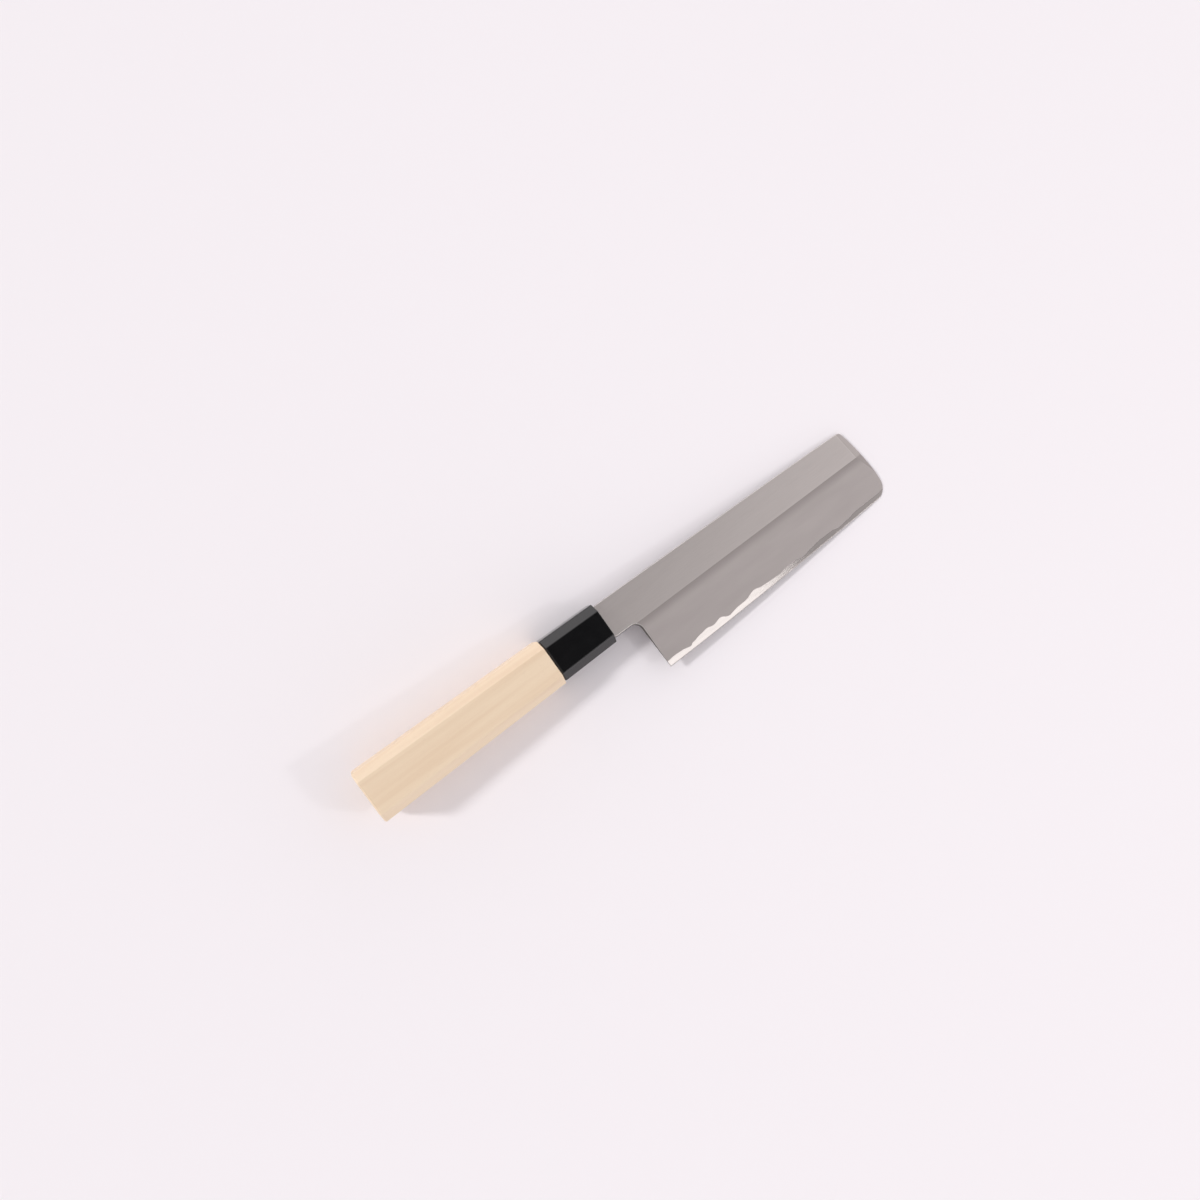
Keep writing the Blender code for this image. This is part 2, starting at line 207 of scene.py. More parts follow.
def weld_height(x):
    """Height of the weld above the edge: the two nearest spots, mixed by an eased share."""
    along = np.clip(x - heel_x, 0.0, weld_spots[-1, 0])
    last = np.clip(np.searchsorted(weld_spots[:, 0], along) - 1, 0, len(weld_spots) - 2)
    start, end = weld_spots[last], weld_spots[last + 1]
    share = (along - start[..., 0]) / (end[..., 0] - start[..., 0])
    return blend(start[..., 1], end[..., 1], smooth(share))


def weld_y(x):
    """The weld line itself: edge plus weld height."""
    return edge_y(x) + weld_height(x)


print("weld height", np.round(weld_height(np.linspace(heel_x, tip_x, 5)) / mm, 2), "mm")

# %% [markdown]
# ## One grid for both layers
# Stations cross the blade and rows run along it, crowded where the surface turns: at the
# spine, the ridge, the weld line, the edge and all round the outline. The neck and the tang
# have only the rows above the ridge, so the grid is L-shaped. Both layers use it, which makes
# them meet exactly along the weld line.

# %% Rows and stations
ease = 0.3 * mm
choil_ease = 0.7 * mm
rim = 2.0 * mm
edge_rim = 1.3 * mm
tip_bevel_at_spine = 2.4 * mm
tip_bevel_at_ridge = 3.6 * mm

round_steps = np.array((0.0, 0.08, 0.2, 0.35, 0.55, 0.8, 1.0))
spine_insets = np.concatenate([ease * round_steps, (0.5 * mm, spine_corner_radius, 1.5 * mm, rim)])
ridge_insets = np.array((0.9, 0.7, 0.5, 0.35, 0.22, 0.12, 0.05)) * mm
flat_shares = spread(0.0, 1.0, 9)[1:]
bevel_insets = np.array((0.04, 0.1, 0.2, 0.35, 0.6, 0.9)) * mm
bevel_shares = np.linspace(0.06, 0.99, 29)
weld_insets = np.array((0.02, 0.0)) * mm
strip_shares = np.linspace(1.0, 0.0, 7)[1:-1]
keen_width = 0.35 * mm
keen_insets = np.array((1.15, 1.0, 0.85, 0.5, 0.0)) * keen_width
strip_low = 1.3 * keen_width

ridge_row = len(spine_insets) + len(flat_shares) + len(ridge_insets)
weld_row = ridge_row + len(bevel_insets) + len(bevel_shares) + len(weld_insets)
edge_row = weld_row + len(strip_shares) + len(keen_insets)


def row_heights(x):
    """Height of every row at each x: insets from the spine, shares down the flat, insets
    and shares down the bevel to the weld, then the strip and its keen edge."""
    x = x[..., None]
    spine, ridge, weld, edge = spine_y(x), ridge_y(x), weld_y(x), edge_y(x)
    flat_top, flat_low = spine - rim, ridge + ridge_insets[0]
    parts = [spine - spine_insets, blend(flat_top, flat_low, flat_shares), ridge + ridge_insets,
             ridge, ridge - bevel_insets, blend(ridge, weld, bevel_shares), weld + weld_insets,
             blend(edge + strip_low, weld, strip_shares), edge + keen_insets]
    return np.concatenate(parts, axis=-1)


heel_insets = np.concatenate([choil_ease * round_steps, np.array((0.95, 1.4, 2.0)) * mm])
tip_insets = np.linspace(4.6, 0.0, 36) * mm
main_shares = spread(0.018, 0.97, 340)
blade_shares = np.concatenate([0 * heel_insets, main_shares, 0 * tip_insets + 1])
blade_offsets = np.concatenate([heel_insets, 0 * main_shares, -tip_insets])
settling_rounds = 12

tang_x = np.array((-tang_length, -tang_length / 2, seat_gap))
shoulder_x = seat_gap + shoulder_radius * np.linspace(0.02, 1.0, 12) ** 1.6
level_x = np.array((3.4, 4.5, 5.6, 6.6, 7.25, 7.6, 8.2, 8.9, 9.6)) * mm
join_x = heel_line_x(ridge_y(neck_length))
neck_x = np.concatenate([tang_x, shoulder_x, level_x, spread(neck_length, join_x, 10)])
neck_stations = len(neck_x)
tang_front = 1.01 * seat_gap


def neck_low_y(x):
    """Underside of the neck: a quarter round at the ferrule, a level run, the choil's arc."""
    behind = round_in(np.clip(x, 0.0, None), shoulder_radius)
    ahead = round_in(choil_radius + neck_length - x, choil_radius)
    return -neck_depth + behind - ahead


def blade_plan():
    """Where each station crosses each row. A blade station is a share of the way from the
    heel line to the tip line, plus an offset. Above the ridge the heel line stays at the join
    with the neck. Both lines depend on the height and the heights on x, so a few rounds of
    substitution settle them."""
    x = np.repeat(blend(neck_length, tip_x, blade_shares)[:, None], edge_row + 1, axis=1)
    for _ in range(settling_rounds):
        y = np.take_along_axis(row_heights(x), np.arange(edge_row + 1)[None, :, None], axis=2)
        y = y[..., 0]
        start, end = np.maximum(heel_line_x(y), join_x), tip_line_x(y)
        x = blend(start, end, blade_shares[:, None]) + blade_offsets[:, None]
    return x, y


def neck_plan():
    """On neck and tang a row keeps its share of the way down from the spine to the ridge."""
    rows = row_heights(neck_x)
    share = (rows[:, :1] - rows) / (rows[:, :1] - rows[:, ridge_row:ridge_row + 1])
    top, bottom = spine_y(neck_x), neck_low_y(neck_x)
    tang = blend(tang_root_width, tang_end_width, -neck_x / tang_length) / 2
    on_tang = neck_x < tang_front
    top, bottom = np.where(on_tang, tang, top), np.where(on_tang, -tang, bottom)
    y = blend(top[:, None], bottom[:, None], share)
    return np.repeat(neck_x[:, None], edge_row + 1, axis=1), y


plan_x, plan_y = (np.concatenate(pair) for pair in zip(neck_plan(), blade_plan()))
on_grid = np.ones(plan_x.shape, bool)
on_grid[:neck_stations, ridge_row + 1:] = False
print("stations", len(plan_x), "rows", edge_row + 1)

# %% [markdown]
# ## Heights over the outline
# The front is the lowest of three planes: the flat, the wide bevel, whose plane is carried on
# a little above the ridge, and the narrow bevel along the tip. A softened minimum leaves a
# small radius at each crossing, as a polishing stone does. Spine, neck, choil and heel are
# eased by a quarter round. The weld is a third height function between front and back, and
# the back has a shallow ground hollow.

# %% Blade thickness
neck_thickness = 3.0 * mm
tip_thickness = 1.7 * mm
edge_thickness = 0.2 * mm
tip_edge_thickness = 0.8 * mm
tip_bevel_slope = (tip_thickness - tip_edge_thickness) / tip_bevel_at_ridge
tang_end_thickness = 2.0 * mm
ridge_softness = 0.012 * mm
bevel_reach = 1.4
hollow_depth = 0.35 * mm
hollow_end_power = 8
steel_share = 0.36
steel_blend = 10.0 * mm
scarf_length = 3.0 * mm
weld_gap = 0.05 * mm
least_thickness = 0.02 * mm
back_z = -neck_thickness / 2


def thickness_at(x):
    """Even taper from the neck to the tip, and another to the tang's end."""
    forward = neck_thickness - (neck_thickness - tip_thickness) * x / tip_x
    backward = blend(neck_thickness, tang_end_thickness, -x / tang_length)
    return np.where(x < 0, backward, forward)


def tip_bevel_line_x(y):
    """Straight line across the flat where the tip bevel begins."""
    spine, ridge = spine_y(tip_x) - spine_corner_radius, ridge_y(tip_x)
    start = tip_line_x(spine) - tip_bevel_at_spine
    end = tip_line_x(ridge) - tip_bevel_at_ridge
    return blend(start, end, (spine - y) / (spine - ridge))


def tip_bevel_height(x, y):
    """Height of the tip bevel's plane above the back."""
    start = tip_bevel_line_x(y)
    return thickness_at(start) - tip_bevel_slope * (x - start)


def bevel_height(x, y):
    """Height of the wide bevel's plane: from the edge's thickness up to the flat's."""
    share = np.clip((y - edge_y(x)) / (ridge_y(x) - edge_y(x)), 0.0, bevel_reach)
    return blend(edge_thickness, thickness_at(x), share)


def tip_depth(x, y):
    """How far the tip bevel's plane lies under the flat and the wide bevel."""
    return np.minimum(thickness_at(x), bevel_height(x, y)) - tip_bevel_height(x, y)


def choil_distance(x, y):
    """Distance in from the neck's underside, the choil's arc or the heel."""
    from_arc = np.hypot(x - neck_length, y - arc_centre_y) - choil_radius
    from_under = y - neck_low_y(x)
    below = np.where(y < arc_centre_y, x - heel_line_x(y), from_arc)
    return np.where(x < neck_length, from_under, below)


def choil_round(y):
    """Radius of the round along neck and choil, which narrows down the heel."""
    down_heel = smooth((arc_centre_y - y) / (arc_centre_y + edge_depth))
    return blend(choil_ease, 0.5 * ease, down_heel)


def eased_edges(x, y, low_radius):
    """Depth of the eased outer edges: a quarter round along the spine, and another along
    neck, choil and heel."""
    return round_in(spine_y(x) - y, ease) + round_in(choil_distance(x, y), low_radius)


def front_z(x, y):
    """Front: soft minimum of flat, bevel and tip bevel, less the eased outer edges."""
    thickness = thickness_at(x)
    height = soft_min(thickness, bevel_height(x, y), ridge_softness)
    height = soft_min(height, tip_bevel_height(x, y), ridge_softness)
    height = np.where(x < neck_length, thickness, height)
    height = height - eased_edges(x, y, choil_round(y))
    return np.where(x < tang_front, thickness / 2, back_z + np.maximum(height, least_thickness))


def hollow_z(x, y):
    """Back: flat rim round a hollow, deepest in its middle, (1 - across^2)(1 - along^power)."""
    low, high = edge_y(x) + edge_rim, spine_y(x) - rim
    across = 2 * (y - low) / (high - low) - 1
    near, far = heel_line_x(y) + rim, np.minimum(tip_line_x(y) - rim, tip_bevel_line_x(y) - ease)
    along = 2 * (x - near) / (far - near) - 1
    inside = (np.abs(across) < 1) & (np.abs(along) < 1)
    depth = hollow_depth * (1 - across ** 2) * (1 - along ** hollow_end_power) * inside
    return back_z + depth + eased_edges(x, y, ease)


def weld_z(x, y):
    """Weld surface: at the bevel along the weld line, eased down to the steel's share of
    the thickness under the flat, and a scarf that runs out at the neck."""
    weld = weld_y(x)
    share = (weld - edge_y(x)) / (ridge_y(x) - edge_y(x))
    bevel = blend(edge_thickness, thickness_at(x), share)
    deep = steel_share * thickness_at(x)
    height = blend(bevel, deep, smooth((y - weld) / steel_blend))
    scarf = np.clip((x - neck_length + scarf_length) / scarf_length, 0.0, 1.0)
    return back_z + np.where(x < neck_length, deep * scarf, height)


# %% [markdown]
# ## From height functions to closed solids
# Two height grids make a solid: the upper one, the lower one turned over, and a wall wherever
# the grid ends. The walls are found with array masks: a cell side is open when the cell on its
# other side is missing.

# %% Solid between two grids
def open_sides(cells):
    """For each of the four sides of every cell, whether no cell lies beyond it."""
    padded = np.pad(cells, 1)
    beyond = [padded[:-2, 1:-1], padded[1:-1, 2:], padded[2:, 1:-1], padded[1:-1, :-2]]
    return [cells & ~other for other in beyond]


def grid_solid(top, bottom, cells):
    """Points and four-cornered faces of the solid between two grids of points. Corners of
    cell (i, j) run (i, j), (i, j+1), (i+1, j+1), (i+1, j)."""
    count = top.shape[0] * top.shape[1]
    index = np.arange(count).reshape(top.shape[:2])
    corners = np.stack([index[:-1, :-1], index[:-1, 1:], index[1:, 1:], index[1:, :-1]], axis=-1)
    upper = corners[cells]
    faces = [upper, upper[:, ::-1] + count]
    for side, open_here in enumerate(open_sides(cells)):
        start = corners[open_here][:, side]
        end = corners[open_here][:, (side + 1) % 4]
        faces.append(np.stack([end, start, start + count, end + count], axis=-1))
    points = np.concatenate([top.reshape(-1, 3), bottom.reshape(-1, 3)])
    return points, np.concatenate(faces)


# %% [markdown]
# ## Laying the knife down
# On the table the knife rests on the ferrule's lower front edge and on the tip, so it is
# pitched by a small angle about Y. The move then sets the middle of its box over the origin and
# its lowest points on the table. Each finished object stays at the origin: its mesh is turned
# and moved instead.

# %% Place on the table and mesh maker
ferrule_front_thickness = 17.0 * mm
rest_pitch = math.atan2(ferrule_front_thickness / 2 + back_z, tip_x)
rest_place = np.array((-15.053, 11.675, 8.492)) * mm
sharp_angle = math.radians(28)


def lay_down(points):
    """Turn about Y by the pitch, then move: x' = x cos + z sin, z' = z cos - x sin."""
    x, y, z = points.T
    cos, sin = math.cos(rest_pitch), math.sin(rest_pitch)
    return np.stack([x * cos + z * sin, y, z * cos - x * sin], axis=1) + rest_place


def make_piece(name, points, faces, node):
    """Mesh from arrays of points and four-cornered faces, laid on the table, with unused
    points dropped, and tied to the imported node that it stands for."""
    used, faces = np.unique(faces, return_inverse=True)
    faces = faces.reshape(-1, 4)
    mesh = bpy.data.meshes.new(name)
    mesh.from_pydata(lay_down(points[used]), (), faces.tolist())
    mesh.validate()
    mesh.shade_smooth()
    mesh.set_sharp_from_angle(angle=sharp_angle)
    piece = bpy.data.objects.new(name, mesh)
    bpy.context.scene.collection.objects.link(piece)
    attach(piece, "root")
    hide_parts(node)
    low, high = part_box(node)
    made = np.array([piece.bound_box[0], piece.bound_box[6]])
    off = np.abs(made - np.array([low, high])).max() / mm
    print(name, len(mesh.vertices), "points, corner off by", round(off, 3), "mm")
    return piece, used


def store(piece, used, name, values):
    """A number at each used point of the upper and lower grid, which a material can read."""
    attribute = piece.data.attributes.new(name, "FLOAT", "POINT")
    numbers = np.tile(values.ravel(), 2)[used]
    attribute.data.foreach_set("value", numbers.astype(np.float32))


# %% [markdown]
# ## The soft-iron body
# It carries the flat, the ridge, the bevel down to the weld, the neck and the tang. Its
# underside follows the weld. Four numbers are stored at its points, because the finishes of
# flat, bevel, tip bevel and eased edge differ, and because its material paints shade under the
# ridge and on the wall of neck and choil, and a highlight along the eased edges.

# %% Soft-iron body
def lifted(height):
    """Grid points at the plan's places with the given heights."""
    return np.stack([plan_x, plan_y, height], axis=-1)


def store_zones(piece, used):
    """Below the ridge, under the two planes at the tip and in from the spine, all in
    millimetres, and in from the choil as a share of its round."""
    store(piece, used, "below_ridge", (ridge_y(plan_x) - plan_y) / mm)
    store(piece, used, "tip_depth", tip_depth(plan_x, plan_y) / mm)
    store(piece, used, "from_spine", (spine_y(plan_x) - plan_y) / mm)
    store(piece, used, "choil_share", choil_distance(plan_x, plan_y) / choil_round(plan_y))


def layer_cells(last_row, first_station):
    """Cells whose four corners are on the grid, in the part that a layer takes up."""
    cells = on_grid[:-1, :-1] & on_grid[:-1, 1:] & on_grid[1:, 1:] & on_grid[1:, :-1]
    cells[:, last_row:] = False
    cells[:first_station] = False
    return cells


front = front_z(plan_x, plan_y)
plain_back = back_z + eased_edges(plan_x, plan_y, ease)
weld = np.maximum(weld_z(plan_x, plan_y), plain_back)
scarf_start = neck_length - scarf_length
under = np.where(plan_x < scarf_start, plain_back, weld)
under = np.where(plan_x < tang_front, -thickness_at(plan_x) / 2, under)
iron_points, iron_faces = grid_solid(lifted(front), lifted(np.minimum(under, front - weld_gap)),
                                     layer_cells(weld_row, 0))
iron, iron_used = make_piece("soft_iron_body_fine", iron_points, iron_faces,
                             "soft_iron_body")
store_zones(iron, iron_used)

# %% [markdown]
# ## The edge steel
# It lies under the iron, shows as the strip along the edge and makes the whole hollow back.
# Under the iron it keeps a hair's gap. Along the strip its front is the bevel itself, down to
# a cutting edge a few hundredths of a millimetre thick.

# %% Edge steel
keen_thickness = 0.05 * mm
from_edge = plan_y - edge_y(plan_x)
keen = np.clip(from_edge / keen_width, 0.0, 1.0)
keen_front = np.where(keen < 1, back_z + blend(keen_thickness, front - back_z, keen), front)
rows = np.arange(edge_row + 1)[None, :]
steel_front = np.where(rows < weld_row, weld - weld_gap, keen_front)
hollow = hollow_z(plan_x, plan_y)
steel_back = np.minimum(hollow, steel_front - least_thickness)
first_steel = int(np.argmax(neck_x > scarf_start + weld_gap))
steel_points, steel_faces = grid_solid(lifted(steel_front), lifted(steel_back),
                                       layer_cells(edge_row, first_steel))
steel, steel_used = make_piece("edge_steel_fine", steel_points, steel_faces,
                               "edge_steel")
store(steel, steel_used, "from_edge", from_edge / mm)

# %% [markdown]
# ## Rounded octagons
# Ferrule and handle share one cross-section: an octagon with slanting sides at 45 degrees and
# softly rounded ridges. Moving all eight sides in by r and then out again by r along each
# outward direction gives true arcs, each an eighth of a turn, whatever the two widths are. Two
# more points near the ends of each side keep the wide faces flat under smooth shading.

# %% Cross-sections
ridge_steps = 5
side_turns = np.arange(8) * math.pi / 4
arc_turns = side_turns[:, None] + np.linspace(0, math.pi / 4, ridge_steps + 1)
flat_marks = np.array((0.06, 0.94))
slot_chamfer = 0.5 * mm
slot_round = 0.1 * mm


def octagon_rings(half_width, half_height, chamfer, radius):
    """Rings of a rounded octagon. Corner k is where side k meets side k + 1. Its arc is the
    corner of the octagon inset by the radius, plus the radius times (cos t, sin t)."""
    w, h = half_width - radius, half_height - radius
    slant = (half_width + half_height - chamfer) / math.sqrt(2) - radius
    reach = np.stack([w, slant, h, slant, w, slant, h, slant], axis=-1)
    following = np.roll(reach, -1, axis=-1)
    cos, sin = np.cos(side_turns), np.sin(side_turns)
    cos_next, sin_next = np.roll(cos, -1), np.roll(sin, -1)
    turn = math.sin(math.pi / 4)
    y = (reach * sin_next - following * sin) / turn
    z = (following * cos - reach * cos_next) / turn
    centre = np.stack([y, z], axis=-1)[..., None, :]
    direction = np.stack([np.cos(arc_turns), np.sin(arc_turns)], axis=-1)
    arcs = centre + np.asarray(radius)[..., None, None, None] * direction
    starts, ends = arcs[..., -1:, :], np.roll(arcs, -1, axis=-3)[..., :1, :]
    flats = blend(starts, ends, flat_marks[:, None])
    return np.concatenate([arcs, flats], axis=-2).reshape(*np.shape(half_width), -1, 2)


def slot_ring(width, thickness):
    """One ring round the tang: its section, wider by the seat gap, with small slants."""
    half_width, half_height = (np.array([size / 2 + seat_gap]) for size in (width, thickness))
    return octagon_rings(half_width, half_height, slot_chamfer, np.array([slot_round]))[0]


def oval_rings(like, half_width, half_height):
    """Ellipses whose points keep the directions of a ring of the octagon."""
    turn = np.arctan2(like[..., 1], like[..., 0])
    return np.stack([half_width * np.cos(turn), half_height * np.sin(turn)], axis=-1)


def ring_skin(x, rings, closed):
    """Points and faces of rings set along X. A closed skin also joins the last ring to the
    first, as a hollow piece does whose wall turns back on itself."""
    count, around = rings.shape[:2]
    along = np.broadcast_to(x[:, None, None], (count, around, 1))
    points = np.concatenate([along, rings], axis=-1)
    index = np.arange(count * around).reshape(count, around)
    near = index if closed else index[:-1]
    far = np.roll(index, -1, axis=0) if closed else index[1:]
    quads = np.stack([near, np.roll(near, -1, axis=1), np.roll(far, -1, axis=1), far], axis=-1)
    return points.reshape(-1, 3), quads.reshape(-1, 4)[:, ::-1]


# %% [markdown]
# ## The ferrule
# A black collar, slightly tapered to the front. Its skin is one closed tube of rings: along
# the outside, over the front face into the slot for the tang, round the inside of the bore,
# and back over the rear face. Both rims are rounded.

# %% Ferrule
ferrule_length = 30.0 * mm
ferrule_rear = np.array((21.6, 17.7)) * mm / 2
ferrule_front = np.array((20.75 * mm, ferrule_front_thickness)) / 2
ferrule_chamfer = 3.95 * mm
ferrule_wall = 3.5 * mm
ferrule_ridge_radius = 0.55 * mm
ferrule_rims = np.array((0.9, 0.3)) * mm
tenon_half = np.array((15.0, 12.0)) * mm / 2
inset_share = 2 - math.sqrt(2)


def outer_rings(x, ends, near, far, chamfers, rim_radii, radius):
    """Octagon rings along a tapered stick, drawn in at both ends by a quarter round."""
    share = (x - ends[0]) / (ends[1] - ends[0])
    drawn = round_in(x - ends[0], rim_radii[0]) + round_in(ends[1] - x, rim_radii[1])
    half = blend(near, far, share[:, None]) - drawn[:, None]
    chamfer = blend(chamfers[0], chamfers[1], share) - inset_share * drawn
    return octagon_rings(half[:, 0], half[:, 1], chamfer, np.full(len(x), radius))


rim_steps = 1 - np.cos(np.linspace(0, math.pi / 2, 8))
ferrule_span = np.linspace(-28.8, -0.8, 12) * mm
ferrule_x = np.concatenate([-ferrule_length + ferrule_rims[0] * rim_steps, ferrule_span,
                            -ferrule_rims[1] * rim_steps[::-1]])
ferrule_skin = outer_rings(ferrule_x, (-ferrule_length, 0.0), ferrule_rear, ferrule_front,
                           (ferrule_chamfer, ferrule_chamfer), ferrule_rims, ferrule_ridge_radius)
tang_root_ring = slot_ring(tang_root_width, neck_thickness)
bore_ring = oval_rings(ferrule_skin[0], *(tenon_half + seat_gap))
inner_x = np.array((0.0, -ferrule_wall, -ferrule_wall, -ferrule_length))
inner_rings = np.stack([tang_root_ring, tang_root_ring, bore_ring, bore_ring])
ferrule_points, ferrule_faces = ring_skin(np.concatenate([ferrule_x, inner_x]),
                                          np.concatenate([ferrule_skin, inner_rings]), True)
ferrule, _ = make_piece("ferrule_fine", ferrule_points, ferrule_faces, "ferrule")

# %% [markdown]
# ## The wooden handle
# The same octagon, larger and tapered towards the ferrule, with a tenon in front and the
# tang's pocket inside. Its rings run from the middle of the butt over the outside, along the
# tenon and back into the pocket. The wood stands a little proud of the ferrule all round.

# %% Handle
wood_length = 98.8 * mm
butt_half = np.array((25.5, 21.5)) * mm / 2
neck_half = np.array((23.0, 19.2)) * mm / 2
wood_chamfers = np.array((4.2, 4.0)) * mm
wood_rims = np.array((1.0, 0.4)) * mm
wood_ridge_radius = 0.6 * mm
pocket_end_room = 1.5 * mm
wood_front = -ferrule_length - seat_gap
butt_x = wood_front - wood_length
tenon_end_x = -ferrule_wall - seat_gap
pocket_end_x = -tang_length - pocket_end_room

wood_span = np.linspace(butt_x + 2 * mm, wood_front - 1.5 * mm, 60)
wood_x = np.concatenate([butt_x + wood_rims[0] * rim_steps, wood_span,
                         wood_front - wood_rims[1] * rim_steps[::-1]])
wood_skin = outer_rings(wood_x, (butt_x, wood_front), butt_half, neck_half, wood_chamfers,
                        wood_rims, wood_ridge_radius)
closing_share = 0.0005
cap_shares = np.array((closing_share, 0.3, 0.6, 0.85, 0.97))
cap_rings = wood_skin[0] * cap_shares[:, None, None]
tenon_ring = oval_rings(wood_skin[-1], *tenon_half)
tang_end_ring = slot_ring(tang_end_width, tang_end_thickness)
inner_x = (wood_front, tenon_end_x, tenon_end_x, pocket_end_x, pocket_end_x)
inner_rings = np.stack([tenon_ring, tenon_ring, tang_root_ring, tang_end_ring,
                        tang_end_ring * closing_share])
handle_x = np.concatenate([np.full(len(cap_shares), butt_x), wood_x, inner_x])
handle_rings = np.concatenate([cap_rings, wood_skin, inner_rings])
handle_points, handle_faces = ring_skin(handle_x, handle_rings, False)
handle, _ = make_piece("wooden_handle_fine", handle_points, handle_faces,
                       "wooden_handle")

# %% [markdown]
# ## Writing materials as expressions
# A node tree is hard to read as a list of links. Two small classes turn it into arithmetic:
# a Number wraps a socket, so 1 - mask adds a Math node, and a Finish adds any other node with
# one method.

# %% Shader arithmetic
class Number:
    """A number flowing between nodes. Arithmetic on it adds Math nodes."""

    def __init__(self, tree, socket):
        self.tree = tree
        self.socket = socket

    def math(self, operation, *values):
        return self.tree.add("Math", dict(enumerate(values)), operation=operation)

    def __add__(self, other):
        return self.math("ADD", self, other)

    def __radd__(self, other):
        return self.math("ADD", other, self)

    def __sub__(self, other):
        return self.math("SUBTRACT", self, other)

    def __rsub__(self, other):
        return self.math("SUBTRACT", other, self)

    def __mul__(self, other):
        return self.math("MULTIPLY", self, other)

    def ramp(self, low, high):
        """Eased share of the way from low to high, held at 0 and 1 outside."""
        inputs = {"Value": self, "From Min": low, "From Max": high}
        return self.tree.add("MapRange", inputs, interpolation_type="SMOOTHSTEP")


class Tree:
    """A node tree with one method that adds any node."""

    def __init__(self, node_tree):
        self.nodes = node_tree.nodes
        self.links = node_tree.links

    def add(self, kind, inputs, output=0, **settings):
        """Add a node: its settings first, then a link or a value for each socket."""
        node = self.nodes.new("ShaderNode" + kind)
        for key, value in settings.items():
            setattr(node, key, value)
        for key, value in inputs.items():
            if isinstance(value, Number):
                self.links.new(value.socket, node.inputs[key])
            else:
                node.inputs[key].default_value = value
        return Number(self, node.outputs[output])

    def mix(self, first, second, share):
        """Colour between two colours."""
        return self.add("Mix", {0: share, 6: first, 7: second}, output=2, data_type="RGBA")


class Finish(Tree):
    """A material with one Principled shader whose constant sockets are set by name."""

    def __init__(self, name, **fixed):
        self.material = bpy.data.materials.new(name)
        self.material.use_nodes = True
        super().__init__(self.material.node_tree)
        self.shader = self.nodes["Principled BSDF"]
        for socket, value in fixed.items():
            self.shader.inputs[socket.replace("_", " ")].default_value = value

    def stored(self, name):
        """A number stored at the mesh's points."""
        return self.add("Attribute", {}, output=2, attribute_name=name)

    def grain(self, size):
        """Object coordinates turned into the knife's frame and measured in grains."""
        place = self.add("TexCoord", {}, output=3)
        inputs = {"Vector": place, "Location": rest_place, "Rotation": (0, rest_pitch, 0),
                  "Scale": size}
        return self.add("Mapping", inputs, vector_type="TEXTURE")

    def noise(self, size, detail=2.0, roughness=0.5, distortion=0.0):
        """Noise whose features have the given size along X, Y and Z of the knife."""
        inputs = {"Vector": self.grain(size), "Scale": 1.0, "Detail": detail,
                  "Roughness": roughness, "Distortion": distortion}
        return self.add("TexNoise", inputs)

    def dress(self, piece, height, depth, **varying):
        """Link the varying sockets, add the relief and give the finish to a piece."""
        bump = self.add("Bump", {"Height": height, "Distance": depth})
        for socket, value in {"Normal": bump, **varying}.items():
            self.links.new(value.socket, self.shader.inputs[socket.replace("_", " ")])
        piece.data.materials.append(self.material)


def tone(red, green, blue):
    """A colour with full alpha."""
    return (red, green, blue, 1.0)


# %% [markdown]
# ## Soft iron: satin, with a stoned bevel
# The flat is evenly satin. The bevel is hazier from the stone, with fine marks that run along
# the blade, and its colour is darkened just under the ridge by painted shade. The narrow bevel
# at the tip is darker. The eased edges are polished and lightened by a painted highlight, and
# the wall of neck, choil and heel is darkened by painted shade.

# %% Iron finish
def iron_finish(piece):
    finish = Finish("satin_soft_iron", Metallic=1.0)
    below = finish.stored("below_ridge")
    under_planes = finish.stored("tip_depth")
    from_spine = finish.stored("from_spine")
    choil_share = finish.stored("choil_share")
    marks = finish.noise((14 * mm, 0.12 * mm, 0.12 * mm), detail=3.0, roughness=0.7)
    cloud = finish.noise((30 * mm, 6 * mm, 6 * mm), detail=3.0)
    on_bevel = below.ramp(-0.1, 0.15)
    # Painted shade: the bevel's colour darkens just under the ridge and fades out over 5 mm.
    painted_ridge_shade = on_bevel * (1 - below.ramp(0.2, 5.0))
    on_tip = under_planes.ramp(-0.01, 0.03)
    # Painted shade: the colour of the wall of neck, choil and heel is darkened.
    wall = 1 - choil_share.ramp(0.35, 0.8)
    # Painted highlight: the colour is lightened along the eased spine, neck and choil; the lower
    # roughness there is real polish.
    eased = 2 - from_spine.ramp(0.1, 0.35) - choil_share.ramp(0.8, 1.2)
    flat = finish.mix(tone(0.61, 0.56, 0.54), tone(0.65, 0.60, 0.58), cloud)
    bevel = finish.mix(tone(0.415, 0.378, 0.368), tone(0.485, 0.443, 0.433), cloud)
    color = finish.mix(flat, bevel, on_bevel)
    # Painted shade under the ridge.
    color = finish.mix(color, tone(0.28, 0.25, 0.24), painted_ridge_shade * 0.66)
    color = finish.mix(color, tone(0.30, 0.272, 0.262), on_tip * 0.78)
    color = finish.mix(color, tone(0.44, 0.405, 0.39), marks.ramp(0.35, 0.75) * 0.26)
    # Painted highlight on the eased edges.
    color = finish.mix(color, tone(0.80, 0.77, 0.75), eased * 0.7)
    # Painted shade on the wall of neck, choil and heel.
    color = finish.mix(color, tone(0.07, 0.06, 0.055), wall * 0.9)
    roughness = 0.36 + on_bevel * 0.16 + marks * 0.08 - eased * 0.16
    finish.dress(piece, marks, 0.01 * mm, Base_Color=color, Roughness=roughness)


iron_finish(iron)

# %% [markdown]
# ## Edge steel: polished strip, ground hollow
# The hard steel takes a mirror polish with only the finest marks, so it is white where it
# meets a lamp's image and darker than the satin iron everywhere else. The last third of a
# millimetre before the edge comes straight from the stone and stays hazy.

